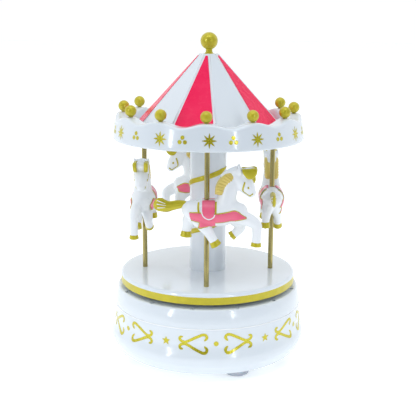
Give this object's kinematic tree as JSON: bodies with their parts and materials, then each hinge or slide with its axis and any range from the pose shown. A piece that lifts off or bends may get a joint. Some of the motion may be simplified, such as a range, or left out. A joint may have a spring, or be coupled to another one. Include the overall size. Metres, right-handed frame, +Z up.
{
  "type": "carousel music box",
  "caption": "Wind-up music box with a round base and a revolving carousel of horses on poles under a striped cone canopy.",
  "frame": {"origin": "centre of the plane that the three feet stand on, under the carousel's axis", "axes": "+Z up along the carousel's axis, -Y to the front, +X to the right seen from the front"},
  "size_m": [0.104, 0.104, 0.171],
  "materials": {
    "white_plastic": "glossy moulded white plastic",
    "gold_paint": "mustard gold paint on plastic, satin gloss",
    "pink_paint": "hot pink paint, glossy",
    "horse_plastic": "satin white moulded plastic with painted harness",
    "brass_rod": "polished brass plated rod",
    "movement_brass": "machined brass",
    "movement_zinc": "die-cast metal",
    "movement_steel": "ground steel",
    "foot_rubber": "pale grey soft pad"
  },
  "bodies": {
    "base": {"bottom_cover": "white_plastic", "base_drum": "white_plastic", "top_cover": "white_plastic", "foot_1": "foot_rubber", "foot_2": "foot_rubber", "foot_3": "foot_rubber", "cover_screws": "movement_steel", "spindle_bush": "movement_brass", "movement_bedplate": "movement_zinc", "bedplate_screws": "movement_steel", "comb": "movement_steel", "comb_stand": "movement_zinc", "comb_screws": "movement_steel", "cylinder_bearing_inner": "movement_brass", "cylinder_bearing_outer": "movement_brass", "governor_frame": "movement_brass"},
    "cylinder": {"music_cylinder": "movement_brass"},
    "second_arbor": {"second_arbor": "movement_steel"},
    "governor": {"governor_worm": "movement_steel"},
    "winding_key": {"winding_arbor": "movement_steel", "winding_key": "movement_brass"},
    "carousel": {"platform_disc": "white_plastic", "centre_column": "white_plastic", "ceiling_plate": "white_plastic", "valance": "white_plastic", "roof_shell": "white_plastic", "column_screws_lower": "movement_steel", "column_screws_upper": "movement_steel", "mainspring": "movement_steel", "drive_spindle": "movement_steel", "spring_barrel": "movement_brass", "platform_rim": "gold_paint", "column_ribbon": "gold_paint", "finial": "gold_paint", "canopy_ball_01": "gold_paint", "canopy_ball_02": "gold_paint", "canopy_ball_03": "gold_paint", "canopy_ball_04": "gold_paint", "canopy_ball_05": "gold_paint", "canopy_ball_06": "gold_paint", "canopy_ball_07": "gold_paint", "canopy_ball_08": "gold_paint", "canopy_ball_09": "gold_paint", "canopy_ball_10": "gold_paint", "canopy_ball_11": "gold_paint", "canopy_ball_12": "gold_paint", "pole_1": "brass_rod", "pole_2": "brass_rod", "pole_3": "brass_rod", "pole_4": "brass_rod", "horse_1": "horse_plastic", "horse_2": "horse_plastic", "horse_3": "horse_plastic", "horse_4": "horse_plastic", "roof_panel_1": "pink_paint", "roof_panel_2": "pink_paint", "roof_panel_3": "pink_paint", "roof_panel_4": "pink_paint", "roof_panel_5": "pink_paint"}
  },
  "joints": [
    {"name": "carousel_spin", "type": "hinge", "parent": "base", "child": "carousel", "pos_m": [0, 0, 0.0391], "axis": [0, 0, 1], "continuous": true},
    {"name": "cylinder_spin", "type": "hinge", "parent": "base", "child": "cylinder", "pos_m": [0.026, 0, 0.0281], "axis": [1, 0, 0], "continuous": true},
    {"name": "second_arbor_spin", "type": "hinge", "parent": "base", "child": "second_arbor", "pos_m": [0.0366, -0.0084, 0.0281], "axis": [1, 0, 0], "continuous": true},
    {"name": "governor_spin", "type": "hinge", "parent": "base", "child": "governor", "pos_m": [0.0389, -0.0132, 0.0281], "axis": [0, 0, 1], "continuous": true},
    {"name": "key_spin", "type": "hinge", "parent": "base", "child": "winding_key", "pos_m": [0, 0, 0.0167], "axis": [0, 0, 1], "continuous": true}
  ],
  "couplings": [
    {"joint": "cylinder_spin", "follows": "carousel_spin", "ratio": 5},
    {"joint": "second_arbor_spin", "follows": "carousel_spin", "ratio": -16},
    {"joint": "governor_spin", "follows": "carousel_spin", "ratio": -256}
  ]
}
